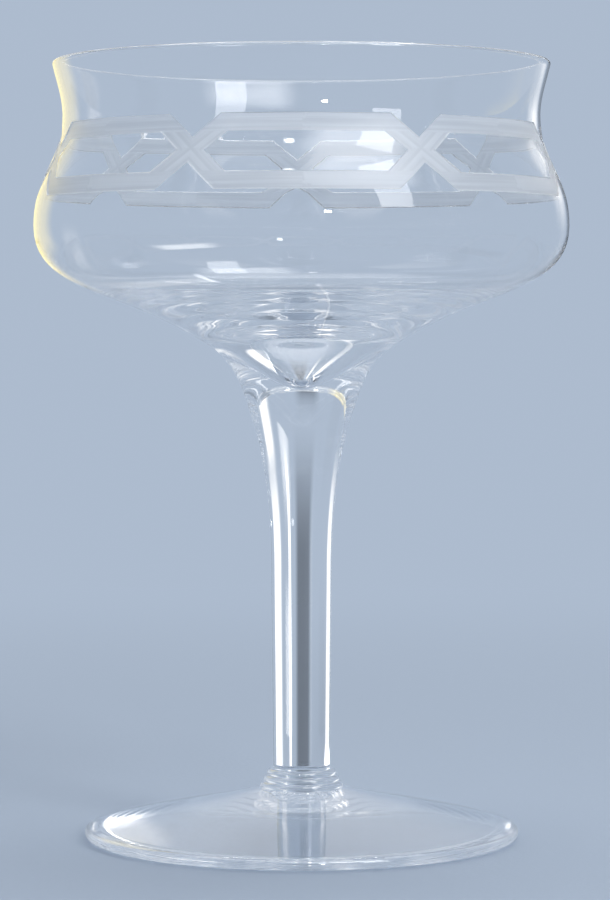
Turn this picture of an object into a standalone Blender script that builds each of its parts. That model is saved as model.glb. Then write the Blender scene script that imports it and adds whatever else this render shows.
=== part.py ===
"""Sherbet glass: a waisted saucer bowl on a drawn stem, a ringed collar and a spread foot, turned about Z."""

import math

import bmesh
import bpy
from mathutils import Vector
from mathutils.geometry import interpolate_bezier

# Driving dimensions, in metres. Heights stack up from the table: foot, collar, stem, bowl.
SEAM = 0.0003  # gap between two pieces that are fused on the real glass

FOOT_DIAMETER = 0.0710
FOOT_HEIGHT = 0.0081  # table to the seat under the collar
FOOT_THICKNESS = 0.0026  # glass under the seat
FOOT_EDGE_THICKNESS = 0.0019
STANDING_RING_WIDTH = 0.0016  # flat ring that the glass stands on

COLLAR_DIAMETER = 0.0138
COLLAR_RINGS = 3
COLLAR_RING_HEIGHT = 0.00095
COLLAR_TOP_LEDGE = 0.00065  # how far the top ring stands out from the stem
COLLAR_NECK_HEIGHT = 0.00035

STEM_LENGTH = 0.0611
STEM_FOOT_DIAMETER = 0.0093
STEM_SHAFT_DIAMETER = 0.0099  # where the flare starts
STEM_FLARE_LENGTH = 0.0303
STEM_TOP_DIAMETER = 0.0192  # also the joint face under the bowl

BOWL_HEIGHT = 0.0537
RIM_DIAMETER = 0.0811
WAIST_DIAMETER = 0.0779
WAIST_BELOW_RIM = 0.0089
BELLY_DIAMETER = 0.0874
BELLY_BELOW_RIM = 0.0268
SAUCER_DIAMETER = 0.0400  # where the underside turns from the saucer into the stem's flare
SAUCER_ABOVE_JOINT = 0.0102
RIM_WALL = 0.0012
BOWL_WALL = 0.0016  # from the belly down
BOWL_FLOOR = 0.0018  # glass between the joint face and the lowest point inside

# Slopes of the outline, in degrees.
RIM_LEAN = 12.5  # rim from upright, outwards
SAUCER_SLOPE = 27.7  # underside from level
JOINT_LEAN = 20.0  # outline from upright, where stem and bowl meet
FOOT_EDGE_SLOPE = 14.0  # upper face of the foot from level, at its edge
FOOT_SEAT_SLOPE = 14.5  # the same, beside the collar

# How far each curve holds its starting and its ending direction, as a share of the chord.
RIM_PULL = (0.35, 0.35)
OGEE_PULL = (0.41, 0.45)
SAUCER_PULL = (0.34, 0.48)
THROAT_PULL = (0.51, 0.37)
FLARE_PULL = (0.27, 0.50)
FLOOR_PULL = (0.62, 0.14)
FOOT_PULL = (0.33, 0.33)

# Facets: sides of a turned piece, and steps along each curve.
WIDE_SIDES = 60
SLIM_SIDES = 40
RIM_STEPS = 4
OGEE_STEPS = 8
SAUCER_STEPS = 9
THROAT_STEPS = 6
FLARE_STEPS = 10
FLOOR_STEPS = 6
FOOT_STEPS = 6
ROUND_STEPS = 4

SMOOTH_LIMIT = math.radians(35)

DOWN = Vector((0, -1))
INWARD = Vector((-1, 0))

# Heights of the joints, worked out from the lengths above.
COLLAR_HEIGHT = COLLAR_RINGS * COLLAR_RING_HEIGHT + COLLAR_NECK_HEIGHT
COLLAR_BASE = FOOT_HEIGHT + SEAM
STEM_BASE = COLLAR_BASE + COLLAR_HEIGHT + SEAM
STEM_TOP = STEM_BASE + STEM_LENGTH
BOWL_BASE = STEM_TOP + SEAM
RIM_TOP = BOWL_BASE + BOWL_HEIGHT


def clear_scene():
    """Start from an empty scene."""
    for obj in list(bpy.data.objects):
        bpy.data.objects.remove(obj, do_unlink=True)


def heading(degrees_below_level):
    """Unit step of an outline that runs inwards and down at this slope."""
    slope = math.radians(degrees_below_level)
    return Vector((-math.cos(slope), -math.sin(slope)))


def curve(start, start_way, end, end_way, pull, steps):
    """Points from start to end that leave along start_way and arrive along end_way."""
    chord = (end - start).length
    leave = start + start_way * (pull[0] * chord)
    arrive = end - end_way * (pull[1] * chord)
    return [Vector(point[:2]) for point in interpolate_bezier(start, leave, arrive, end, steps + 1)]


def arc(centre, radius, first, last, steps):
    """Points on a circle from the first angle to the last, in radians."""
    points = []
    for step in range(steps + 1):
        angle = first + (last - first) * step / steps
        points.append(centre + radius * Vector((math.cos(angle), math.sin(angle))))
    return points


def inner_side(outer, first_wall, full_wall, full_height):
    """Copy of an outline that runs downwards, moved inwards by a wall that thickens down to full_height."""
    top = outer[0].y
    inner = []
    for index, point in enumerate(outer):
        before = outer[max(index - 1, 0)]
        after = outer[min(index + 1, len(outer) - 1)]
        way = (after - before).normalized()
        share = min(1, (top - point.y) / (top - full_height))
        wall = first_wall + (full_wall - first_wall) * share
        inner.append(point + wall * Vector((way.y, -way.x)))
    return inner


def glass(name, colour, roughness):
    """Clear glass."""
    material = bpy.data.materials.new(name)
    material.use_nodes = True
    shader = material.node_tree.nodes["Principled BSDF"]
    shader.inputs["Base Color"].default_value = (*colour, 1)
    shader.inputs["Metallic"].default_value = 0
    shader.inputs["Roughness"].default_value = roughness
    shader.inputs["IOR"].default_value = 1.52
    shader.inputs["Transmission Weight"].default_value = 1
    return material


def turned(name, outline, sides, material):
    """Turn an outline of (radius, height) points, from the axis round to the axis, into a closed piece."""
    shape = bmesh.new()
    points = [shape.verts.new((point.x, 0, point.y)) for point in outline]
    edges = [shape.edges.new(pair) for pair in zip(points, points[1:])]
    bmesh.ops.spin(
        shape,
        geom=points + edges,
        cent=(0, 0, 0),
        axis=(0, 0, 1),
        angle=math.tau,
        steps=sides,
        use_merge=True,
    )
    bmesh.ops.remove_doubles(shape, verts=shape.verts, dist=SEAM / 100)
    bmesh.ops.recalc_face_normals(shape, faces=shape.faces)
    mesh = bpy.data.meshes.new(name)
    shape.to_mesh(mesh)
    shape.free()
    mesh.materials.append(material)
    mesh.shade_smooth()
    mesh.set_sharp_from_angle(angle=SMOOTH_LIMIT)
    piece = bpy.data.objects.new(name, mesh)
    bpy.context.scene.collection.objects.link(piece)
    return piece


def make_foot():
    """Spread foot: low cone above, hollow below, standing on a flat ring inside its rounded edge."""
    seat = Vector((COLLAR_DIAMETER / 2, FOOT_HEIGHT))
    edge_round = FOOT_EDGE_THICKNESS / 2
    edge_centre = Vector((FOOT_DIAMETER / 2 - edge_round, edge_round))
    edge_top = math.radians(90 - FOOT_EDGE_SLOPE)
    edge = arc(edge_centre, edge_round, edge_top, -math.pi / 2, ROUND_STEPS)
    outwards = Vector((math.cos(math.radians(FOOT_SEAT_SLOPE)), -math.sin(math.radians(FOOT_SEAT_SLOPE))))
    upper = curve(seat, outwards, edge[0], -heading(-FOOT_EDGE_SLOPE), FOOT_PULL, FOOT_STEPS)
    ring_inside = Vector((edge_centre.x - STANDING_RING_WIDTH, 0))
    hollow_top = Vector((0, FOOT_HEIGHT - FOOT_THICKNESS))
    lower = curve(ring_inside, heading(-FOOT_EDGE_SLOPE), hollow_top, INWARD, FOOT_PULL, FOOT_STEPS)
    outline = [Vector((0, FOOT_HEIGHT))] + upper + edge[1:] + lower
    return turned("foot", outline, WIDE_SIDES, glass("foot_glass", (0.93, 0.95, 0.95), 0.03))


def make_collar():
    """Collar of stacked round-edged rings between foot and stem, the widest ring at the bottom."""
    neck = STEM_FOOT_DIAMETER / 2
    bead = COLLAR_RING_HEIGHT / 2
    top_ring = neck + COLLAR_TOP_LEDGE
    bottom_ring = COLLAR_DIAMETER / 2
    top = COLLAR_BASE + COLLAR_HEIGHT
    outline = [Vector((0, top)), Vector((neck, top))]
    for ring in range(COLLAR_RINGS):
        share = ring / max(1, COLLAR_RINGS - 1)
        reach = top_ring + (bottom_ring - top_ring) * share
        centre = Vector((reach - bead, top - COLLAR_NECK_HEIGHT - bead - ring * COLLAR_RING_HEIGHT))
        outline += arc(centre, bead, math.pi / 2, -math.pi / 2, ROUND_STEPS)
    outline.append(Vector((0, COLLAR_BASE)))
    return turned("collar", outline, SLIM_SIDES, glass("collar_glass", (0.95, 0.95, 0.93), 0.02))


def joint_way():
    """Direction of the outline, downwards, where the bowl passes into the stem."""
    lean = math.radians(JOINT_LEAN)
    return Vector((-math.sin(lean), -math.cos(lean)))


def make_stem():
    """Drawn stem: a slim shaft that flares like a trumpet to the bowl."""
    top = Vector((STEM_TOP_DIAMETER / 2, STEM_TOP))
    shaft = Vector((STEM_SHAFT_DIAMETER / 2, STEM_TOP - STEM_FLARE_LENGTH))
    base = Vector((STEM_FOOT_DIAMETER / 2, STEM_BASE))
    flare = curve(top, joint_way(), shaft, DOWN, FLARE_PULL, FLARE_STEPS)
    outline = [Vector((0, STEM_TOP))] + flare + [base, Vector((0, STEM_BASE))]
    return turned("stem", outline, SLIM_SIDES, glass("stem_glass", (0.95, 0.96, 0.96), 0.02))


def make_bowl():
    """Thin blown bowl: flared rim, drawn-in waist, round belly, and a shallow saucer run down to the stem."""
    lean = math.radians(RIM_LEAN)
    lip_round = RIM_WALL / 2
    lip_centre = Vector((RIM_DIAMETER / 2 - lip_round, RIM_TOP - lip_round))
    rim_way = Vector((-math.sin(lean), -math.cos(lean)))
    lip = arc(lip_centre, lip_round, math.pi - lean, -lean, ROUND_STEPS)
    waist = Vector((WAIST_DIAMETER / 2, RIM_TOP - WAIST_BELOW_RIM))
    belly = Vector((BELLY_DIAMETER / 2, RIM_TOP - BELLY_BELOW_RIM))
    saucer = Vector((SAUCER_DIAMETER / 2, BOWL_BASE + SAUCER_ABOVE_JOINT))
    joint = Vector((STEM_TOP_DIAMETER / 2, BOWL_BASE))
    saucer_way = heading(SAUCER_SLOPE)
    wall = curve(lip[-1], rim_way, waist, DOWN, RIM_PULL, RIM_STEPS)
    wall += curve(waist, DOWN, belly, DOWN, OGEE_PULL, OGEE_STEPS)[1:]
    wall += curve(belly, DOWN, saucer, saucer_way, SAUCER_PULL, SAUCER_STEPS)[1:]
    throat = curve(saucer, saucer_way, joint, joint_way(), THROAT_PULL, THROAT_STEPS)
    inside = inner_side(wall, RIM_WALL, BOWL_WALL, belly.y)
    bottom = Vector((0, BOWL_BASE + BOWL_FLOOR))
    floor = curve(inside[-1], saucer_way, bottom, INWARD, FLOOR_PULL, FLOOR_STEPS)
    outline = floor[::-1] + inside[-2:0:-1] + lip + wall[1:] + throat[1:] + [Vector((0, BOWL_BASE))]
    return turned("bowl", outline, WIDE_SIDES, glass("bowl_glass", (0.95, 0.95, 0.92), 0.02))


def main():
    """Model the glass from the table up."""
    clear_scene()
    make_foot()
    make_collar()
    make_stem()
    make_bowl()


if __name__ == "__main__":
    main()
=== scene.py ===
import math

import bmesh
import bpy
from mathutils import Matrix, Vector


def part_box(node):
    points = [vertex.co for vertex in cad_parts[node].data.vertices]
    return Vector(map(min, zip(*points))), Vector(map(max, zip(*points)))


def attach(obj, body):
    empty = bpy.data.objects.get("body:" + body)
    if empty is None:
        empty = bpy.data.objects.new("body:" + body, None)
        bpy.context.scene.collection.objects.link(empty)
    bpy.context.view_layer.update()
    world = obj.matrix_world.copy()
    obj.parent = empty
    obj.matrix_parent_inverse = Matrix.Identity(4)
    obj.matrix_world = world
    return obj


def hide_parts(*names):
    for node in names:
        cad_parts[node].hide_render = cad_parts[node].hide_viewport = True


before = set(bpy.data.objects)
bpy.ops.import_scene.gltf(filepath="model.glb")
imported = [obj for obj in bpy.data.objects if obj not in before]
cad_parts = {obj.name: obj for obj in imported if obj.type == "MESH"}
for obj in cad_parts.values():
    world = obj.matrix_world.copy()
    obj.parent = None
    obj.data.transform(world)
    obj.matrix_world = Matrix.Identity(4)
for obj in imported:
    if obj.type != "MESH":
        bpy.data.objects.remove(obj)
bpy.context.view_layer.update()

bl_info = {
    "name": "Sherbet Glass",
    "version": (1, 0, 0),
    "blender": (4, 5, 0),
    "location": "3D View > Sidebar > Sherbet Glass",
    "description": "Models a cut sherbet glass piece by piece and sets it on a plain studio floor",
    "category": "Add Mesh",
}

UP = Vector((0, 1))
DOWN = Vector((0, -1))
OUTWARD = Vector((1, 0))
INWARD = Vector((-1, 0))

# How far a Bezier handle reaches, as a share of the chord.
STRAIGHT = (1 / 3, 1 / 3)
HALF_ROUND = (0.6667, 0.6667)

# Points closer than this are one point.
MERGE = 0.000002

# A face whose normal stands at least this upright is level.
LEVEL = 0.999

# Faces that turn by less than this at an edge are shaded as one.
SMOOTH_LIMIT = math.radians(30)

# Slot of the cut in the bowl's materials, and the map that follows the cut.
CUT_SLOT = 1
CUT_MAP = "along_cut"

# Nodes of the frame, from the table up.
FOOT_LOW, FOOT_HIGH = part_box("foot")
COLLAR_LOW, COLLAR_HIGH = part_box("collar")
STEM_LOW, STEM_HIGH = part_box("stem")
BOWL_LOW, BOWL_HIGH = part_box("bowl")


def halfway(lower, upper):
    """Height halfway across the gap between two nodes, where their glass is fused."""
    return (lower.z + upper.z) / 2


FOOT_JOINT = halfway(FOOT_HIGH, COLLAR_LOW)
COLLAR_JOINT = halfway(COLLAR_HIGH, STEM_LOW)
BOWL_JOINT = halfway(STEM_HIGH, BOWL_LOW)


def length(name, description, default):
    """A size in metres that a user may change."""
    return bpy.props.FloatProperty(
        name=name, description=description, default=default, min=0, precision=5, unit="LENGTH"
    )


def angle(name, description, degrees):
    """An angle that a user may change."""
    return bpy.props.FloatProperty(
        name=name, description=description, default=math.radians(degrees), subtype="ANGLE"
    )


def share(name, description, default):
    """A share from 0 to 1 that a user may change."""
    return bpy.props.FloatProperty(
        name=name, description=description, default=default, min=0, max=1, subtype="FACTOR"
    )


def colour(name, description, default):
    """A linear colour that a user may change."""
    return bpy.props.FloatVectorProperty(
        name=name, description=description, default=default, size=3, min=0, max=1, subtype="COLOR"
    )


def pulls(name, description, default):
    """How far a curve holds its starting and its ending direction, as shares of its chord."""
    return bpy.props.FloatVectorProperty(
        name=name, description=description, default=default, size=2, min=0, max=1
    )


class BowlSizes(bpy.types.PropertyGroup):
    """Outline and walls of the blown bowl."""

    rim_diameter: length("Rim", "Diameter over the rolled lip", 0.0811)
    rim_lean: angle("Rim lean", "Rim from upright, outwards", 12.5)
    rim_wall: length("Rim wall", "Glass at the lip", 0.0012)
    waist_diameter: length("Waist", "Diameter at the waist", 0.0779)
    waist_below_rim: length("Waist drop", "Waist below the rim", 0.0089)
    belly_diameter: length("Belly", "Widest diameter", BOWL_HIGH.x - BOWL_LOW.x)
    belly_below_rim: length("Belly drop", "Belly below the rim", 0.0268)
    belly_wall: length("Belly wall", "Glass at the belly", 0.0012)
    saucer_diameter: length("Saucer", "Where the underside turns into the stem's flare", 0.0400)
    saucer_height: length("Saucer height", "The same, above the bowl's base", 0.0102)
    saucer_slope: angle("Saucer slope", "Underside from level", 27.7)
    floor_diameter: length("Floor", "Diameter of the shallow floor inside", 0.0372)
    floor_height: length("Floor height", "Edge of the floor above the base", 0.0129)
    floor_slope: angle("Floor slope", "Edge of the floor from level", 12.0)
    dip_diameter: length("Dip", "Diameter of the dip in the middle of the floor", 0.0280)
    dip_height: length("Dip height", "Mouth of the dip above the base", 0.0120)
    dip_slope: angle("Dip slope", "Mouth of the dip from level", 2.0)
    dip_bottom: length("Dip bottom", "Lowest point inside, above the base", 0.0015)
    joint_diameter: length("Joint", "Diameter where the bowl passes into the stem", STEM_HIGH.x - STEM_LOW.x)
    joint_lean: angle("Joint lean", "Outline from upright at the joint", 20.0)
    rim_pull: pulls("Rim pull", "From the lip to the waist", (0.35, 0.35))
    ogee_pull: pulls("Ogee pull", "From the waist to the belly", (0.41, 0.45))
    saucer_pull: pulls("Saucer pull", "From the belly to the saucer", (0.34, 0.48))
    throat_pull: pulls("Throat pull", "From the saucer to the joint", (0.51, 0.37))
    floor_pull: pulls("Floor pull", "From the edge of the floor to the dip", (0.30, 0.30))
    dip_pull: pulls("Dip pull", "From the mouth of the dip to the axis", (0.35, 0.20))


class BandSizes(bpy.types.PropertyGroup):
    """The wheel-cut band of linked long hexagons."""

    repeats: bpy.props.IntProperty(name="Repeats", description="Hexagons round the bowl", default=7, min=3)
    front: angle("Front", "Middle of the front hexagon, to the right of the front", 1.1)
    upper_height: length("Upper bar", "Height of the upper bar's middle", 0.1150)
    lower_height: length("Lower bar", "Height of the lower bar's middle", 0.10605)
    crossing_height: length("Crossing", "Height at which the arms cross", 0.1108)
    bar_width: length("Bar width", "Width of a level bar", 0.00285)
    arm_width: length("Arm width", "Width of a slanting arm", 0.0031)
    arm_slope: angle("Arm slope", "Slanting arms from level", 40.0)
    depth: length("Depth", "Depth of the cut", 0.00018)
    bevel: length("Bevel", "Width of the cut's slanting edge", 0.00018)


class StemSizes(bpy.types.PropertyGroup):
    """Outline of the drawn stem."""

    foot_diameter: length("Foot end", "Diameter at the collar", 0.0093)
    shaft_diameter: length("Shaft", "Diameter where the flare starts", 0.0099)
    flare_length: length("Flare", "Length of the flare under the bowl", 0.0303)
    flare_pull: pulls("Flare pull", "From the joint to the shaft", (0.27, 0.50))


class CollarSizes(bpy.types.PropertyGroup):
    """Outline of the ringed collar."""

    rings: bpy.props.IntProperty(name="Rings", description="Stacked rings", default=3, min=1)
    top_ledge: length("Ledge", "How far the top ring stands out from the stem", 0.0004)
    neck_height: length("Neck", "Plain neck above the rings", 0.00035)
    bulge: angle("Bulge", "How far a ring's face turns from its chord at each groove", 55.0)
    overhang: length("Overhang", "How far the lowest ring stands out over its own edge", 0.00015)


class FootSizes(bpy.types.PropertyGroup):
    """Outline of the spread foot."""

    thickness: length("Thickness", "Glass under the seat", 0.0026)
    edge_thickness: length("Edge", "Thickness of the rounded edge", 0.0019)
    standing_ring: length("Standing ring", "Width of the ring that it stands on", 0.0016)
    edge_slope: angle("Edge slope", "Upper face from level, at the edge", 14.0)
    seat_slope: angle("Seat slope", "Upper face from level, beside the collar", 14.5)
    pull: pulls("Pull", "Of the upper and the lower face", (0.33, 0.33))


class GlassFinish(bpy.types.PropertyGroup):
    """Colours and finish of the clear and the cut glass."""

    clear: colour("Clear glass", "Tint of the clear glass", (0.998, 0.999, 0.998))
    cut: colour("Cut glass", "Grey of the unpolished cut", (0.95, 0.965, 0.98))
    shadow: colour("Shadow", "Lamp light that each wall lets through", (0.40, 0.44, 0.50))
    ior: bpy.props.FloatProperty(name="IOR", description="Index of refraction", default=1.51, min=1, max=2)
    ripple: length("Ripple", "Height of the slow ripples in the blown glass", 0.00003)
    film: share("Film", "Roughness of the surface where its film of smears is thickest", 0.02)
    cut_roughness: share("Cut roughness", "Roughness of the unpolished cut", 0.40)
    cut_unevenness: share("Cut unevenness", "How far that roughness varies, as a share of it", 0.20)
    cut_clearness: share("Cut clearness", "Light that passes through the cut", 0.76)
    line_depth: length("Line depth", "Depth of the fine lines that the wheel leaves", 0.000012)
    line_shade: share("Line shade", "Grey of those lines, as a share of the cut's own", 0.86)


class StageLook(bpy.types.PropertyGroup):
    """Floor, background, even light and dark cards."""

    pale: colour("Pale", "Colour of the floor and of the background", (0.42, 0.50, 0.62))
    sky: share("Sky light", "Level of the even light from all round", 0.52)
    flag: colour("Flag", "Colour of the dark cards beside the glass", (0.02, 0.022, 0.026))
    floor_side: length("Floor", "Side of the square floor", 60)
    fade_start: length("Fade start", "Where the floor starts to pass into the background", 0.12)
    fade_end: length("Fade end", "Where it has passed into the background", 0.50)
    grain: length("Grain", "Height of the floor's fine grain", 0.0005)


class GlassSettings(bpy.types.PropertyGroup):
    """Everything that a user may change."""

    bowl: bpy.props.PointerProperty(type=BowlSizes)
    band: bpy.props.PointerProperty(type=BandSizes)
    stem: bpy.props.PointerProperty(type=StemSizes)
    collar: bpy.props.PointerProperty(type=CollarSizes)
    foot: bpy.props.PointerProperty(type=FootSizes)
    finish: bpy.props.PointerProperty(type=GlassFinish)
    stage: bpy.props.PointerProperty(type=StageLook)


def slanting(lean):
    """Unit step of an outline that runs down and inwards, at this lean from upright."""
    return Vector((-math.sin(lean), -math.cos(lean)))


def sinking(slope):
    """Unit step of an outline that runs inwards and down, at this slope from level."""
    return Vector((-math.cos(slope), -math.sin(slope)))


def beside(place, way, distance):
    """A point moved to the right of a downward way, into the wall."""
    return place + distance * Vector((way.y, -way.x))


def backwards(pull):
    """The pulls of a curve that is drawn from its other end."""
    return (pull[1], pull[0])


class Outline:
    """A turned outline of (radius, height), drawn knot by knot with Bezier handles."""

    def __init__(self, radius, height):
        start = Vector((radius, height))
        self.knots = [[start, start, start]]

    def curve(self, leave, place, arrive, pull):
        """Go on to a place, leaving and arriving along these ways."""
        start = self.knots[-1][1]
        chord = (place - start).length
        self.knots[-1][2] = start + leave * (pull[0] * chord)
        self.knots.append([place - arrive * (pull[1] * chord), place, place])

    def line(self, radius, height):
        """Go straight on to a place."""
        place = Vector((radius, height))
        way = (place - self.knots[-1][1]).normalized()
        self.curve(way, place, way, STRAIGHT)


def new_curve(name, outline, steps, turn):
    """Draw an outline as an upright Bezier curve, at this turn round the axis, and make it a mesh."""
    bpy.ops.object.select_all(action="DESELECT")
    bpy.ops.curve.primitive_bezier_curve_add(location=(0, 0, 0))
    piece = bpy.context.object
    piece.name = name
    piece.data.resolution_u = steps
    points = piece.data.splines[0].bezier_points
    points.add(len(outline.knots) - len(points))
    across = Vector((math.cos(turn), math.sin(turn), 0))
    for point, knot in zip(points, outline.knots):
        point.handle_left_type = "FREE"
        point.handle_right_type = "FREE"
        before, place, after = [across * flat.x + Vector((0, 0, flat.y)) for flat in knot]
        point.co = place
        point.handle_left = before
        point.handle_right = after
    bpy.ops.object.convert(target="MESH")
    piece = bpy.context.object
    piece.name = name
    piece.data.name = name
    return piece


def spin(sides, sweep, copies=False):
    """Turn what is selected about the axis, as one skin or as separate copies."""
    bpy.ops.mesh.spin(steps=sides, dupli=copies, angle=sweep, center=(0, 0, 0), axis=(0, 0, 1))


def turn_outwards():
    """Select everything, and point its faces outwards."""
    bpy.ops.mesh.select_all(action="SELECT")
    bpy.ops.mesh.normals_make_consistent(inside=False)


def close_up():
    """Merge the seam and the poles, and point the faces outwards."""
    bpy.ops.mesh.select_all(action="SELECT")
    bpy.ops.mesh.remove_doubles(threshold=MERGE)
    turn_outwards()


def pick_faces(piece, wanted):
    """Select the faces that pass a test, and no others."""
    bpy.ops.mesh.select_mode(type="FACE")
    bpy.ops.mesh.select_all(action="DESELECT")
    shape = bmesh.from_edit_mesh(piece.data)
    for face in shape.faces:
        if wanted(face):
            face.select_set(True)
    shape.select_flush_mode()
    bmesh.update_edit_mesh(piece.data)


def cap_joints(piece, heights):
    """Fill the open ring at each of these heights with a flat face."""
    for height in heights:
        bpy.ops.mesh.select_mode(type="EDGE")
        bpy.ops.mesh.select_all(action="DESELECT")
        shape = bmesh.from_edit_mesh(piece.data)
        for edge in shape.edges:
            level = all(abs(vert.co.z - height) < MERGE for vert in edge.verts)
            edge.select_set(edge.is_boundary and level)
        shape.select_flush_mode()
        bmesh.update_edit_mesh(piece.data)
        bpy.ops.mesh.edge_face_add()


def paint(piece, materials):
    """Give a piece its materials, as slots. The first covers all of it."""
    for material in materials:
        bpy.ops.object.material_slot_add()
        piece.material_slots[-1].material = material


def paint_picked(piece, slot):
    """Give the selected faces one of the piece's slots."""
    piece.active_material_index = slot
    bpy.ops.object.material_slot_assign()


def on_joint(heights):
    """Make a test for faces that lie flat at one of these heights."""

    def test(face):
        middle = face.calc_center_median()
        return any(abs(middle.z - height) < MERGE for height in heights) and abs(face.normal.z) > LEVEL

    return test


def seal_joints(piece, heights):
    """Close a piece at its joints with flat faces, which get its last slot."""
    cap_joints(piece, heights)
    turn_outwards()
    pick_faces(piece, on_joint(heights))
    paint_picked(piece, len(piece.material_slots) - 1)


def finish_piece(piece, node):
    """Smooth a piece and let it stand for its node."""
    bpy.ops.object.mode_set(mode="OBJECT")
    bpy.ops.object.shade_smooth_by_angle(angle=SMOOTH_LIMIT)
    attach(piece, "root")
    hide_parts(node)


def turned_skin(name, outline, steps, sides, turn=0, sweep=math.tau):
    """Turn an outline about the axis, from one turn over a sweep. Leaves the skin in edit mode."""
    piece = new_curve(name, outline, steps, turn)
    bpy.ops.object.mode_set(mode="EDIT")
    bpy.ops.mesh.select_all(action="SELECT")
    spin(sides, sweep)
    close_up()
    return piece


def turned_piece(node, outline, steps, sides, finish, joints):
    """Turn an outline all the way round, paint it as clear glass and close it at its joints."""
    piece = turned_skin(f"glass_{node}", outline, steps, sides)
    paint(piece, [clear_glass(f"{node}_glass", finish), joint_glass()])
    seal_joints(piece, joints)
    finish_piece(piece, node)


class NodeTree:
    """Short ways to add and join shader nodes."""

    def __init__(self, owner):
        owner.use_nodes = True
        self.tree = owner.node_tree
        self.tree.nodes.clear()

    def add(self, kind, **settings):
        """Add a node. Settings are its attributes, or its inputs where it has no such attribute."""
        node = self.tree.nodes.new(kind)
        for name, value in settings.items():
            if hasattr(node, name):
                setattr(node, name, value)
            else:
                node.inputs[name.replace("_", " ").title()].default_value = value
        return node

    def join(self, output, target):
        """Link an output to an input."""
        self.tree.links.new(output, target)

    def tinted(self, kind, tint):
        """Add a shader of one colour."""
        node = self.add(kind)
        node.inputs["Color"].default_value = (*tint, 1)
        return node

    def noise(self, place, scale, detail):
        """Soft irregular pattern."""
        node = self.add("ShaderNodeTexNoise", scale=scale, detail=detail)
        self.join(place, node.inputs["Vector"])
        return node.outputs["Fac"]

    def bump(self, height, distance, strength=1.0):
        """Surface that a pattern raises by up to this distance."""
        node = self.add("ShaderNodeBump", strength=strength, distance=distance)
        self.join(height, node.inputs["Height"])
        return node.outputs["Normal"]

    def ramp(self, value, start, end, low=0.0, high=1.0, kind="LINEAR"):
        """Carry a value between start and end over to the range from low to high."""
        node = self.add("ShaderNodeMapRange", interpolation_type=kind)
        limits = {"From Min": start, "From Max": end, "To Min": low, "To Max": high}
        for name, limit in limits.items():
            node.inputs[name].default_value = limit
        self.join(value, node.inputs["Value"])
        return node.outputs["Result"]

    def reckon(self, operation, value, other):
        """Work out a value from two others. The second may be a plain number."""
        node = self.add("ShaderNodeMath", operation=operation)
        self.join(value, node.inputs[0])
        if isinstance(other, bpy.types.NodeSocket):
            self.join(other, node.inputs[1])
        else:
            node.inputs[1].default_value = other
        return node.outputs["Value"]

    def mix(self, factor, first, second):
        """Pass from one shader to another."""
        node = self.add("ShaderNodeMixShader")
        self.join(factor, node.inputs["Fac"])
        self.join(first.outputs[0], node.inputs[1])
        self.join(second.outputs[0], node.inputs[2])
        return node

    def show(self, shader, kind="ShaderNodeOutputMaterial"):
        """Make a shader what is seen."""
        output = self.add(kind)
        self.join(shader.outputs[0], output.inputs["Surface"])


def glass_material(name, finish):
    """Start a glass that lets part of the lamp light through. Returns it with its nodes and its shader."""
    material = bpy.data.materials.new(name)
    nodes = NodeTree(material)
    shader = nodes.add("ShaderNodeBsdfPrincipled")
    shader.inputs["IOR"].default_value = finish.ior
    through = nodes.tinted("ShaderNodeBsdfTransparent", finish.shadow)
    light_path = nodes.add("ShaderNodeLightPath")
    nodes.show(nodes.mix(light_path.outputs["Is Shadow Ray"], shader, through))
    return material, nodes, shader


def clear_glass(name, finish):
    """Clear blown glass: slow ripples, and a faint film of smears on the surface."""
    material, nodes, shader = glass_material(name, finish)
    shader.inputs["Base Color"].default_value = (*finish.clear, 1)
    shader.inputs["Transmission Weight"].default_value = 1
    place = nodes.add("ShaderNodeTexCoord").outputs["Object"]
    ripples = nodes.noise(place, scale=70.0, detail=1.0)
    nodes.join(nodes.bump(ripples, finish.ripple), shader.inputs["Normal"])
    smears = nodes.noise(place, scale=160.0, detail=4.0)
    film = nodes.ramp(smears, start=0.35, end=0.75, high=finish.film)
    nodes.join(film, shader.inputs["Roughness"])
    return material


# Wheel lines to the metre, along the cut and across it.
WHEEL_LINES = (25, 1300, 1)


def cut_glass(finish):
    """Grey unpolished cut, with the fine lines that the wheel leaves along it."""
    material, nodes, shader = glass_material("cut_glass", finish)
    shader.inputs["Transmission Weight"].default_value = finish.cut_clearness
    along = nodes.add("ShaderNodeUVMap", uv_map=CUT_MAP)
    stretch = nodes.add("ShaderNodeMapping")
    stretch.inputs["Scale"].default_value = WHEEL_LINES
    nodes.join(along.outputs["UV"], stretch.inputs["Vector"])
    lines = nodes.noise(stretch.outputs["Vector"], scale=1.0, detail=3.0)
    nodes.join(nodes.bump(lines, finish.line_depth), shader.inputs["Normal"])
    spread = finish.cut_roughness * finish.cut_unevenness
    smoothest = finish.cut_roughness - spread
    roughest = finish.cut_roughness + spread
    frost = nodes.ramp(lines, start=0.35, end=0.65, low=smoothest, high=roughest)
    nodes.join(frost, shader.inputs["Roughness"])
    grey = nodes.add("ShaderNodeMix", data_type="RGBA")
    grey.inputs["A"].default_value = (*[part * finish.line_shade for part in finish.cut], 1)
    grey.inputs["B"].default_value = (*finish.cut, 1)
    nodes.join(nodes.ramp(lines, start=0.40, end=0.60), grey.inputs["Factor"])
    nodes.join(grey.outputs["Result"], shader.inputs["Base Color"])
    return material


def joint_glass():
    """Where two pieces are fused nothing shows."""
    material = bpy.data.materials.get("fused_joint")
    if material is None:
        material = bpy.data.materials.new("fused_joint")
        nodes = NodeTree(material)
        nodes.show(nodes.add("ShaderNodeBsdfTransparent"))
    return material


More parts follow.
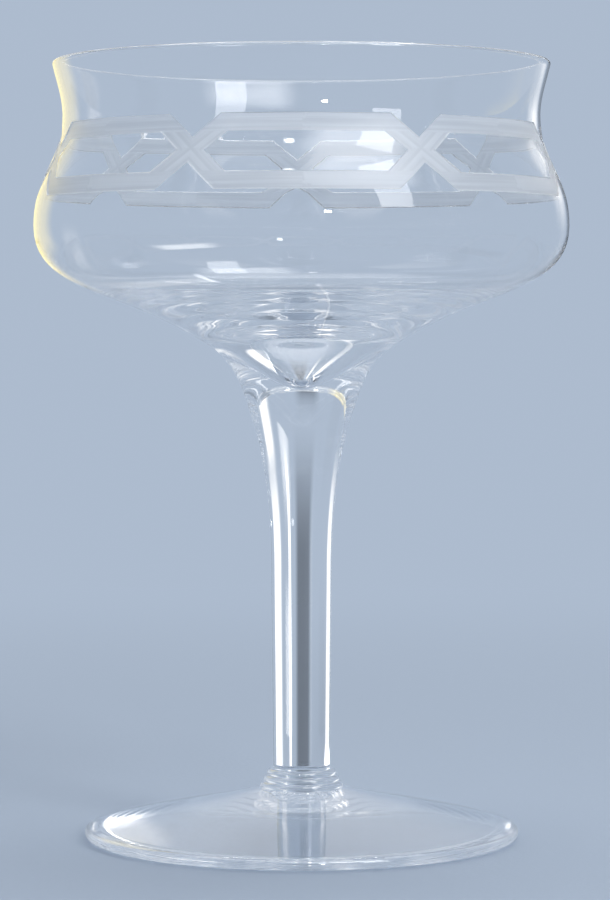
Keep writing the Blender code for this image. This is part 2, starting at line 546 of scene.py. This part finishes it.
def bowl_outline(sizes):
    """The bowl from its lowest point inside, up and over the lip, and down to the joint."""
    top = BOWL_HIGH.z
    base = BOWL_LOW.z
    lip_round = sizes.rim_wall / 2
    rim_way = slanting(sizes.rim_lean)
    saucer_way = sinking(sizes.saucer_slope)
    lip_middle = Vector((sizes.rim_diameter / 2 - lip_round, top - lip_round))
    lip_outside = beside(lip_middle, rim_way, -lip_round)
    lip_inside = beside(lip_middle, rim_way, lip_round)
    waist = Vector((sizes.waist_diameter / 2, top - sizes.waist_below_rim))
    belly = Vector((sizes.belly_diameter / 2, top - sizes.belly_below_rim))
    saucer = Vector((sizes.saucer_diameter / 2, base + sizes.saucer_height))
    joint = Vector((sizes.joint_diameter / 2, BOWL_JOINT))
    floor_way = -sinking(sizes.floor_slope)
    dip_way = -sinking(sizes.dip_slope)
    floor_edge = Vector((sizes.floor_diameter / 2, base + sizes.floor_height))
    dip_mouth = Vector((sizes.dip_diameter / 2, base + sizes.dip_height))
    outline = Outline(0, base + sizes.dip_bottom)
    outline.curve(OUTWARD, dip_mouth, dip_way, backwards(sizes.dip_pull))
    outline.curve(dip_way, floor_edge, floor_way, backwards(sizes.floor_pull))
    outline.curve(floor_way, beside(belly, DOWN, sizes.belly_wall), UP, backwards(sizes.saucer_pull))
    outline.curve(UP, beside(waist, DOWN, sizes.rim_wall), UP, backwards(sizes.ogee_pull))
    outline.curve(UP, lip_inside, -rim_way, backwards(sizes.rim_pull))
    outline.curve(-rim_way, lip_outside, rim_way, HALF_ROUND)
    outline.curve(rim_way, waist, DOWN, sizes.rim_pull)
    outline.curve(DOWN, belly, DOWN, sizes.ogee_pull)
    outline.curve(DOWN, saucer, saucer_way, sizes.saucer_pull)
    outline.curve(saucer_way, joint, slanting(sizes.joint_lean), sizes.throat_pull)
    return outline


def faces_out(face):
    """True for a face of the outer wall."""
    middle = face.calc_center_median()
    return face.normal.dot(Vector((middle.x, middle.y, 0))) > 0


class CutBand:
    """Where the cut runs, on one repeat of the band. Turns are measured from the crossing of two arms."""

    def __init__(self, sizes):
        self.sizes = sizes
        self.sweep = math.tau / sizes.repeats
        self.crossing = sizes.front + self.sweep / 2 - math.pi / 2
        self.top = sizes.upper_height + sizes.bar_width / 2
        self.bottom = sizes.lower_height - sizes.bar_width / 2

    def flat(self, place):
        """A place on the glass, as (distance to the right of the nearest crossing, height above it)."""
        turn = math.atan2(place.y, place.x) - self.crossing
        turn -= self.sweep * round(turn / self.sweep)
        radius = math.hypot(place.x, place.y)
        return Vector((radius * math.sin(turn), place.z - self.sizes.crossing_height))

    def near(self, face):
        """Test for faces of the outer wall that the cut may reach."""
        return faces_out(face) and self.bottom < face.calc_center_median().z < self.top

    def crossed(self, height):
        """Make a test for faces of the outer wall that a level edge at this height runs through."""

        def test(face):
            heights = [vert.co.z for vert in face.verts]
            return faces_out(face) and min(heights) <= height <= max(heights)

        return test

    def holds(self, place, margin):
        """True where the cut, less a margin at its edges, covers this place."""
        sizes = self.sizes
        flat = self.flat(place)
        round_from_arm = abs(flat.x) * math.sin(sizes.arm_slope)
        rise = flat.y * math.cos(sizes.arm_slope)
        half_bar = sizes.bar_width / 2 - margin
        half_arm = sizes.arm_width / 2 - margin
        if not self.bottom + margin < place.z < self.top - margin:
            return False
        on_upper = abs(place.z - sizes.upper_height) < half_bar and rise < round_from_arm + half_arm
        on_lower = abs(place.z - sizes.lower_height) < half_bar and -rise < round_from_arm + half_arm
        on_arm = abs(abs(rise) - round_from_arm) < half_arm
        return on_upper or on_lower or on_arm

    def inside(self, margin):
        """Make a test for faces that lie in the cut, less a margin at its edges."""
        return lambda face: self.near(face) and self.holds(face.calc_center_median(), margin)

    def bar_edges(self):
        """Heights of the level edges: of the cut, and of its floor inside the bevel."""
        sizes = self.sizes
        return [
            height + side * (sizes.bar_width / 2 - margin)
            for margin in (0, sizes.bevel)
            for height in (sizes.upper_height, sizes.lower_height)
            for side in (-1, 1)
        ]

    def arm_edges(self):
        """Planes that hold the slanting edges, as (point, normal)."""
        sizes = self.sizes
        round_way = Vector((-math.sin(self.crossing), math.cos(self.crossing), 0))
        found = []
        for margin in (0, sizes.bevel):
            for slope in (-sizes.arm_slope, sizes.arm_slope):
                across = math.cos(slope) * Vector((0, 0, 1)) - math.sin(slope) * round_way
                for side in (-1, 1):
                    reach = side * (sizes.arm_width / 2 - margin)
                    found.append((Vector((0, 0, sizes.crossing_height)) + reach * across, across))
        return found

    def along(self, middle, place):
        """Where a corner lies, as (distance along its bar or arm, distance across it)."""
        sizes = self.sizes
        flat = self.flat(place)
        home = self.flat(middle)
        from_bars = [abs(middle.z - height) for height in (sizes.upper_height, sizes.lower_height)]
        if min(from_bars) < sizes.bar_width / 2:
            return flat
        slope = math.copysign(sizes.arm_slope, home.x * home.y)
        return Matrix.Rotation(-slope, 2) @ flat


def cut_band(piece, band, radius):
    """Cut the edges of the band into one repeat of the bowl, and sink what lies between them."""
    for height in band.bar_edges():
        pick_faces(piece, band.crossed(height))
        bpy.ops.mesh.bisect(plane_co=(0, 0, height), plane_no=(0, 0, 1), threshold=MERGE)
    for point, normal in band.arm_edges():
        pick_faces(piece, band.near)
        bpy.ops.mesh.bisect(plane_co=point, plane_no=normal, threshold=MERGE)
    pick_faces(piece, band.inside(0))
    paint_picked(piece, CUT_SLOT)
    sink = 1 - band.sizes.depth / radius
    pick_faces(piece, band.inside(band.sizes.bevel))
    bpy.ops.transform.resize(value=(sink, sink, 1), center_override=(0, 0, 0))


def mark_along(piece, band):
    """Map the cut so that the lines of the wheel run along its bars and arms."""
    shape = bmesh.from_edit_mesh(piece.data)
    layer = shape.loops.layers.uv.new(CUT_MAP)
    for face in shape.faces:
        if face.material_index == CUT_SLOT:
            middle = face.calc_center_median()
            for corner in face.loops:
                corner[layer].uv = band.along(middle, corner.vert.co)
    bmesh.update_edit_mesh(piece.data)


class BlowBowl(bpy.types.Operator):
    """Turn the bowl, and cut the band of linked hexagons round it"""

    bl_idname = "sherbet.blow_bowl"
    bl_label = "Bowl"

    steps = 18
    columns = 48

    def execute(self, context):
        settings = context.scene.sherbet
        sizes = settings.bowl
        band = CutBand(settings.band)
        start = band.crossing + band.sweep / 2
        piece = turned_skin("glass_bowl", bowl_outline(sizes), self.steps, self.columns, start, band.sweep)
        paint(piece, [clear_glass("bowl_glass", settings.finish), cut_glass(settings.finish), joint_glass()])
        cut_band(piece, band, sizes.waist_diameter / 2)
        mark_along(piece, band)
        bpy.ops.mesh.select_all(action="SELECT")
        spin(band.sizes.repeats, math.tau, copies=True)
        close_up()
        seal_joints(piece, [BOWL_JOINT])
        finish_piece(piece, "bowl")
        return {"FINISHED"}


class DrawStem(bpy.types.Operator):
    """Turn the slim stem that flares to the bowl"""

    bl_idname = "sherbet.draw_stem"
    bl_label = "Stem"

    steps = 24
    sides = 144

    def execute(self, context):
        settings = context.scene.sherbet
        sizes = settings.stem
        bowl = settings.bowl
        shaft = Vector((sizes.shaft_diameter / 2, STEM_HIGH.z - sizes.flare_length))
        outline = Outline(bowl.joint_diameter / 2, BOWL_JOINT)
        outline.curve(slanting(bowl.joint_lean), shaft, DOWN, sizes.flare_pull)
        outline.line(sizes.foot_diameter / 2, COLLAR_JOINT)
        joints = [BOWL_JOINT, COLLAR_JOINT]
        turned_piece("stem", outline, self.steps, self.sides, settings.finish, joints)
        return {"FINISHED"}


def seat_radius(collar):
    """Where the collar's lowest edge meets the foot."""
    return (COLLAR_HIGH.x - COLLAR_LOW.x) / 2 - collar.overhang


class StackCollar(bpy.types.Operator):
    """Turn the collar of stacked rings between stem and foot"""

    bl_idname = "sherbet.stack_collar"
    bl_label = "Collar"

    steps = 14
    sides = 144

    def execute(self, context):
        settings = context.scene.sherbet
        sizes = settings.collar
        neck = settings.stem.foot_diameter / 2
        first = neck + sizes.top_ledge
        last = seat_radius(sizes)
        top = COLLAR_HIGH.z - sizes.neck_height
        start = Vector((first, top))
        step = (Vector((last, FOOT_JOINT)) - start) / sizes.rings
        way = step.normalized()
        swell = Matrix.Rotation(sizes.bulge, 2)
        outline = Outline(neck, COLLAR_JOINT)
        outline.line(neck, top)
        outline.line(first, top)
        for ring in range(sizes.rings):
            outline.curve(swell @ way, start + step * (ring + 1), swell.inverted() @ way, STRAIGHT)
        joints = [COLLAR_JOINT, FOOT_JOINT]
        turned_piece("collar", outline, self.steps, self.sides, settings.finish, joints)
        return {"FINISHED"}


class SpreadFoot(bpy.types.Operator):
    """Turn the spread foot, hollow underneath"""

    bl_idname = "sherbet.spread_foot"
    bl_label = "Foot"

    steps = 20
    sides = 240

    def execute(self, context):
        settings = context.scene.sherbet
        sizes = settings.foot
        seat = seat_radius(settings.collar)
        edge_round = sizes.edge_thickness / 2
        edge_middle = Vector(((FOOT_HIGH.x - FOOT_LOW.x) / 2 - edge_round, edge_round))
        edge_way = Vector((math.cos(sizes.edge_slope), -math.sin(sizes.edge_slope)))
        seat_way = Vector((math.cos(sizes.seat_slope), -math.sin(sizes.seat_slope)))
        edge_top = edge_middle + edge_round * Vector((math.sin(sizes.edge_slope), math.cos(sizes.edge_slope)))
        edge_bottom = Vector((edge_middle.x, 0))
        ring_inside = edge_middle.x - sizes.standing_ring
        hollow_top = Vector((0, FOOT_HIGH.z - sizes.thickness))
        outline = Outline(seat, FOOT_JOINT)
        outline.line(seat, FOOT_HIGH.z)
        outline.curve(seat_way, edge_top, edge_way, sizes.pull)
        outline.curve(edge_way, edge_bottom, INWARD, HALF_ROUND)
        outline.line(ring_inside, 0)
        outline.curve(sinking(-sizes.edge_slope), hollow_top, INWARD, sizes.pull)
        turned_piece("foot", outline, self.steps, self.sides, settings.finish, [FOOT_JOINT])
        return {"FINISHED"}


# The photograph's frame, in pixels, and the camera's place that was read from it, in metres.
FRAME_WIDTH = 610
FRAME_HEIGHT = 900
AXIS_COLUMN = 301.5
HORIZON_ROW = 321.3
FOCAL_PIXELS = 3264.6
CAMERA_DISTANCE = 0.535
CAMERA_HEIGHT = 0.08467
NEAREST_SEEN = 0.01

# Side of the camera's sensor, in millimetres.
SENSOR = 36.0


def aim_camera():
    """Place the camera where the photograph was taken from."""
    tilt = math.atan2(FRAME_HEIGHT / 2 - HORIZON_ROW, FOCAL_PIXELS)
    pan = math.atan2(AXIS_COLUMN - FRAME_WIDTH / 2, FOCAL_PIXELS)
    bpy.ops.object.camera_add(
        location=(0, -CAMERA_DISTANCE, CAMERA_HEIGHT), rotation=(math.pi / 2 - tilt, 0, pan)
    )
    camera = bpy.context.object
    camera.name = "camera"
    camera.data.sensor_fit = "VERTICAL"
    camera.data.sensor_height = SENSOR
    camera.data.sensor_width = SENSOR
    camera.data.lens = FOCAL_PIXELS * SENSOR / FRAME_HEIGHT
    camera.data.clip_start = NEAREST_SEEN
    bpy.context.scene.camera = camera


WHITE = (1, 1, 1)

# Light Path counts bounces in whole numbers. Below this there was none.
NO_BOUNCE = 0.5


def light_world(look):
    """Pale background for what is seen, straight or through glass, and an even light for the rest."""
    world = bpy.data.worlds.new("studio")
    bpy.context.scene.world = world
    nodes = NodeTree(world)
    seen = nodes.tinted("ShaderNodeBackground", look.pale)
    even = nodes.tinted("ShaderNodeBackground", WHITE)
    even.inputs["Strength"].default_value = look.sky
    light_path = nodes.add("ShaderNodeLightPath").outputs
    straight_or_glossy = nodes.reckon("MAXIMUM", light_path["Is Camera Ray"], light_path["Is Glossy Ray"])
    any_seen = nodes.reckon("MAXIMUM", straight_or_glossy, light_path["Is Transmission Ray"])
    unscattered = nodes.reckon("LESS_THAN", light_path["Diffuse Depth"], NO_BOUNCE)
    in_sight = nodes.reckon("MULTIPLY", any_seen, unscattered)
    nodes.show(nodes.mix(in_sight, even, seen), "ShaderNodeOutputWorld")


def floor_material(look):
    """Pale floor that fades into the background away from the glass."""
    material = bpy.data.materials.new("pale_floor")
    nodes = NodeTree(material)
    place = nodes.add("ShaderNodeTexCoord").outputs["Object"]
    distance = nodes.add("ShaderNodeVectorMath", operation="LENGTH")
    nodes.join(place, distance.inputs[0])
    fade = nodes.ramp(distance.outputs["Value"], look.fade_start, look.fade_end, kind="SMOOTHSTEP")
    grain = nodes.noise(place, scale=900.0, detail=2.0)
    near = nodes.tinted("ShaderNodeBsdfDiffuse", look.pale)
    nodes.join(nodes.bump(grain, look.grain, strength=0.15), near.inputs["Normal"])
    far = nodes.tinted("ShaderNodeEmission", look.pale)
    nodes.show(nodes.mix(fade, near, far))
    return material


def glow_material(name, tint, radiance):
    """Start an even brightness. Returns it with its nodes and its shader."""
    material = bpy.data.materials.new(name)
    nodes = NodeTree(material)
    glow = nodes.tinted("ShaderNodeEmission", tint)
    glow.inputs["Strength"].default_value = radiance
    return material, nodes, glow


def lamp_material(name, tint, radiance):
    """Even brightness for a lamp that shows only in the glass."""
    material, nodes, glow = glow_material(name, tint, radiance)
    nodes.show(glow)
    return material


def card_material(name, tint, sides, foot, top, radiance=1.0, strength=1.0, only_straight=False):
    """Even brightness that fades out over shares of a card: of its half width, and of its height at each end.

    A card that is only seen straight through the glass doesn't show in reflections inside the glass.
    """
    material, nodes, glow = glow_material(name, tint, radiance)
    place = nodes.add("ShaderNodeTexCoord")
    axes = nodes.add("ShaderNodeSeparateXYZ")
    nodes.join(place.outputs["UV"], axes.inputs["Vector"])
    half_width = 0.5
    from_side = nodes.reckon("PINGPONG", axes.outputs["X"], half_width)
    opacity = nodes.ramp(from_side, 0.0, sides * half_width, high=strength, kind="SMOOTHSTEP")
    for nothing, full in ((0.0, foot), (1.0, 1.0 - top)):
        fade = nodes.ramp(axes.outputs["Y"], nothing, full, kind="SMOOTHSTEP")
        opacity = nodes.reckon("MULTIPLY", opacity, fade)
    if only_straight:
        light_path = nodes.add("ShaderNodeLightPath")
        straight = nodes.reckon("LESS_THAN", light_path.outputs["Glossy Depth"], NO_BOUNCE)
        opacity = nodes.reckon("MULTIPLY", opacity, straight)
    clear = nodes.add("ShaderNodeBsdfTransparent")
    nodes.show(nodes.mix(opacity, clear, glow))
    return material


# Air between the foot and the floor, so that the glass keeps its own edge.
AIR_GAP = 0.0003


def add_floor(look):
    """Wide plain floor."""
    bpy.ops.object.select_all(action="DESELECT")
    bpy.ops.mesh.primitive_plane_add(size=look.floor_side, location=(0, 0, -AIR_GAP))
    floor = bpy.context.object
    floor.name = "floor"
    floor.data.materials.append(floor_material(look))


def only_in_glass(piece, material):
    """Let a piece of the stage show in the glass alone."""
    piece.data.materials.append(material)
    piece.visible_camera = False
    piece.visible_diffuse = False
    piece.visible_shadow = False


# What the lamps and the panels face.
GLASS_MIDDLE = Vector((0, 0, 0.07))


def look_from(azimuth, elevation, distance):
    """A place round the glass, from angles in degrees, and the turn that faces the glass from there."""
    aside = math.radians(azimuth)
    above = math.radians(elevation)
    way = Vector((math.sin(aside) * math.cos(above), -math.cos(aside) * math.cos(above), math.sin(above)))
    return GLASS_MIDDLE + distance * way, way.to_track_quat("Z", "Y").to_euler()


def add_card(name, material, through, azimuth, distance, width, low, high):
    """An upright card that only the glass sees, facing the axis from an angle in degrees.

    It shows through the glass, or else only as a reflection on it.
    """
    bpy.ops.object.select_all(action="DESELECT")
    aside = math.radians(azimuth)
    place = Vector((math.sin(aside) * distance, -math.cos(aside) * distance, (low + high) / 2))
    bpy.ops.mesh.primitive_plane_add(size=1, location=place, rotation=(math.pi / 2, 0, aside))
    card = bpy.context.object
    card.name = name
    card.scale = (width, high - low, 1)
    card.visible_transmission = through
    card.visible_glossy = not through
    only_in_glass(card, material)


def add_panel(name, material, azimuth, elevation, distance, width, height):
    """A broad panel that shows only as a reflection on the glass."""
    bpy.ops.object.select_all(action="DESELECT")
    place, turn = look_from(azimuth, elevation, distance)
    bpy.ops.mesh.primitive_plane_add(size=1, location=place, rotation=turn)
    panel = bpy.context.object
    panel.name = name
    panel.scale = (width, height, 1)
    panel.visible_transmission = False
    only_in_glass(panel, material)


def add_ring_lamp(name, material, azimuth, elevation, distance, radius, tube):
    """A ring lamp that only the glass sees."""
    bpy.ops.object.select_all(action="DESELECT")
    place, turn = look_from(azimuth, elevation, distance)
    bpy.ops.mesh.primitive_torus_add(location=place, rotation=turn, major_radius=radius, minor_radius=tube)
    ring = bpy.context.object
    ring.name = name
    only_in_glass(ring, material)


def add_softbox(name, azimuth, elevation, distance, width, height, radiance):
    """A soft white lamp that faces the glass."""
    place, turn = look_from(azimuth, elevation, distance)
    bpy.ops.object.light_add(type="AREA", location=place, rotation=turn)
    lamp = bpy.context.object
    lamp.name = name
    lamp.data.shape = "RECTANGLE"
    lamp.data.size = width
    lamp.data.size_y = height
    lamp.data.energy = radiance * math.pi * width * height
    lamp.visible_camera = False
    return lamp


def low_card_pair(name, look, only_straight):
    """The dark and the bright finish of the low cards round the stem."""
    fading = {"sides": 0.5, "foot": 0.03, "top": 0.5, "only_straight": only_straight}
    dark = card_material(f"{name}_dark_card", look.flag, strength=0.65, **fading)
    bright = card_material(f"{name}_bright_card", WHITE, radiance=1.5, **fading)
    return dark, bright


def stand_low_cards(look):
    """Stand dark and bright cards in each quarter round the stem, and dark ones farther off for its flare.

    The low cards of the quarter behind are only seen straight, so that none shows as an arc on the foot.
    """
    flare_dark = card_material("dark_card", look.flag, sides=0.7, foot=0.35, top=0.5, strength=0.55)
    seen_anyhow = low_card_pair("low", look, only_straight=False)
    seen_straight = low_card_pair("straight", look, only_straight=True)
    far_place = {"through": True, "distance": 0.25, "low": 0.145, "high": 0.34}
    near_place = {"through": True, "distance": 0.05, "low": 0.0, "high": 0.085}
    quarter_behind = 2
    for quarter in range(4):
        middle = quarter * 90
        dark, bright = seen_straight if quarter == quarter_behind else seen_anyhow
        add_card(f"flare_flag_{quarter}", flare_dark, azimuth=middle + 4, width=0.09, **far_place)
        add_card(f"low_flag_{quarter}", dark, azimuth=middle + 2, width=0.017, **near_place)
        add_card(f"low_broad_{quarter}", bright, azimuth=middle - 38, width=0.023, **near_place)
        add_card(f"low_strip_{quarter}", bright, azimuth=middle - 13.5, width=0.0034, **near_place)


def stand_edge_cards(look):
    """Stand the cards that draw the flare, the edges of the bowl and the rim of the foot."""
    bright = card_material("bright_card", WHITE, sides=0.6, foot=0.3, top=0.5, radiance=1.4)
    edge = card_material("edge_card", look.flag, sides=0.6, foot=0.3, top=0.3, strength=0.8)
    rim_tint = (1.0, 0.98, 0.93)
    rim_bright = card_material("rim_bright_card", rim_tint, sides=0.6, foot=0.03, top=0.4, radiance=8.0)
    rim_dark = card_material("rim_dark_card", look.flag, sides=0.6, foot=0.03, top=0.4, strength=0.8)
    edge_bright = card_material("edge_bright_card", WHITE, sides=0.5, foot=0.03, top=0.4, radiance=4.5)
    warm_tint = (1.0, 0.85, 0.40)
    warm = card_material("warm_card", warm_tint, sides=0.5, foot=0.3, top=0.3, radiance=1.6)
    add_card(
        "flare_strip", bright, through=True, azimuth=142, distance=0.25, width=0.10, low=0.09, high=0.30
    )
    add_card("edge_flag", edge, through=False, azimuth=150, distance=0.155, width=0.05, low=0.04, high=0.20)
    rim_place = {"through": False, "distance": 0.12, "low": 0.0, "high": 0.035}
    add_card("rim_strip", rim_bright, azimuth=-50, width=0.075, **rim_place)
    add_card("rim_flag", rim_dark, azimuth=85, width=0.09, **rim_place)
    add_card(
        "low_edge", edge_bright, through=True, azimuth=245, distance=0.045, width=0.05, low=0.0, high=0.010
    )
    add_card(
        "warm_strip", warm, through=False, azimuth=-140, distance=0.155, width=0.13, low=0.045, high=0.18
    )


def hang_panels():
    """Hang the panels that are mirrored in the bowl, the rim and the foot."""
    sheen = card_material("sheen", WHITE, sides=1.0, foot=0.5, top=0.5, radiance=1.2)
    fill = card_material("fill", WHITE, sides=0.6, foot=0.3, top=0.3, radiance=7.0)
    top_sheen = card_material("top_sheen", WHITE, sides=0.8, foot=0.4, top=0.4, radiance=4.0)
    spot_tint = (1.0, 0.98, 0.94)
    spot = card_material("spot_glow", spot_tint, sides=1.0, foot=0.5, top=0.5, radiance=60.0)
    add_panel("back_panel", sheen, azimuth=180, elevation=36, distance=0.9, width=2.4, height=1.2)
    add_panel("front_panel", fill, azimuth=30, elevation=45, distance=0.9, width=0.8, height=0.5)
    add_panel("top_panel", top_sheen, azimuth=0, elevation=88, distance=0.45, width=0.8, height=0.8)
    add_panel("spot", spot, azimuth=-6.6, elevation=46.5, distance=0.8, width=0.07, height=0.07)


def hang_lamps():
    """Hang four ring lamps behind the bowl, and the lamps that light the stage."""
    ring_tint = (1.0, 0.98, 0.92)
    ring_glow = lamp_material("ring_glow", ring_tint, radiance=24.0)
    for side, aside in (("right", -12), ("left", 12)):
        for elevation in (45, 51):
            add_ring_lamp(
                f"ring_{side}_{elevation}", ring_glow, azimuth=180 + aside, elevation=elevation,
                distance=0.8, radius=0.014, tube=0.005
            )
    overhead = add_softbox(
        "overhead", azimuth=160, elevation=72, distance=1.1, width=0.9, height=0.9, radiance=1.8
    )
    window = add_softbox(
        "window", azimuth=40, elevation=31, distance=0.8, width=0.2, height=0.52, radiance=6.0
    )
    key = add_softbox(
        "key", azimuth=10.4, elevation=9.6, distance=0.543, width=0.03, height=0.03, radiance=60.0
    )
    overhead.visible_transmission = False
    window.visible_transmission = False
    key.data.shape = "DISK"


class SetStage(bpy.types.Operator):
    """Set out the floor, the background, the cards, the lamps and the camera"""

    bl_idname = "sherbet.set_stage"
    bl_label = "Stage"

    bounces = 100

    def execute(self, context):
        look = context.scene.sherbet.stage
        context.scene.view_settings.view_transform = "Standard"
        context.scene.cycles.max_bounces = self.bounces
        context.scene.cycles.glossy_bounces = self.bounces
        context.scene.cycles.transmission_bounces = self.bounces
        context.scene.cycles.transparent_max_bounces = self.bounces
        light_world(look)
        add_floor(look)
        stand_low_cards(look)
        stand_edge_cards(look)
        hang_panels()
        hang_lamps()
        aim_camera()
        return {"FINISHED"}


class GlassPanel(bpy.types.Panel):
    """Steps of the glass, in order"""

    bl_idname = "SHERBET_PT_glass"
    bl_label = "Sherbet Glass"
    bl_space_type = "VIEW_3D"
    bl_region_type = "UI"
    bl_category = "Sherbet Glass"

    def draw(self, context):
        for operator in OPERATORS:
            self.layout.operator(operator.bl_idname)


SETTINGS = (
    BowlSizes, BandSizes, StemSizes, CollarSizes, FootSizes, GlassFinish, StageLook, GlassSettings
)
OPERATORS = (SpreadFoot, StackCollar, DrawStem, BlowBowl, SetStage)


def register():
    """Add the settings, the operators and the panel."""
    for kind in (*SETTINGS, *OPERATORS, GlassPanel):
        bpy.utils.register_class(kind)
    bpy.types.Scene.sherbet = bpy.props.PointerProperty(type=GlassSettings)


def unregister():
    """Take them away again."""
    del bpy.types.Scene.sherbet
    for kind in reversed((*SETTINGS, *OPERATORS, GlassPanel)):
        bpy.utils.unregister_class(kind)


def main():
    """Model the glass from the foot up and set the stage."""
    register()
    bpy.ops.sherbet.spread_foot()
    bpy.ops.sherbet.stack_collar()
    bpy.ops.sherbet.draw_stem()
    bpy.ops.sherbet.blow_bowl()
    bpy.ops.sherbet.set_stage()


if __name__ == "__main__":
    main()
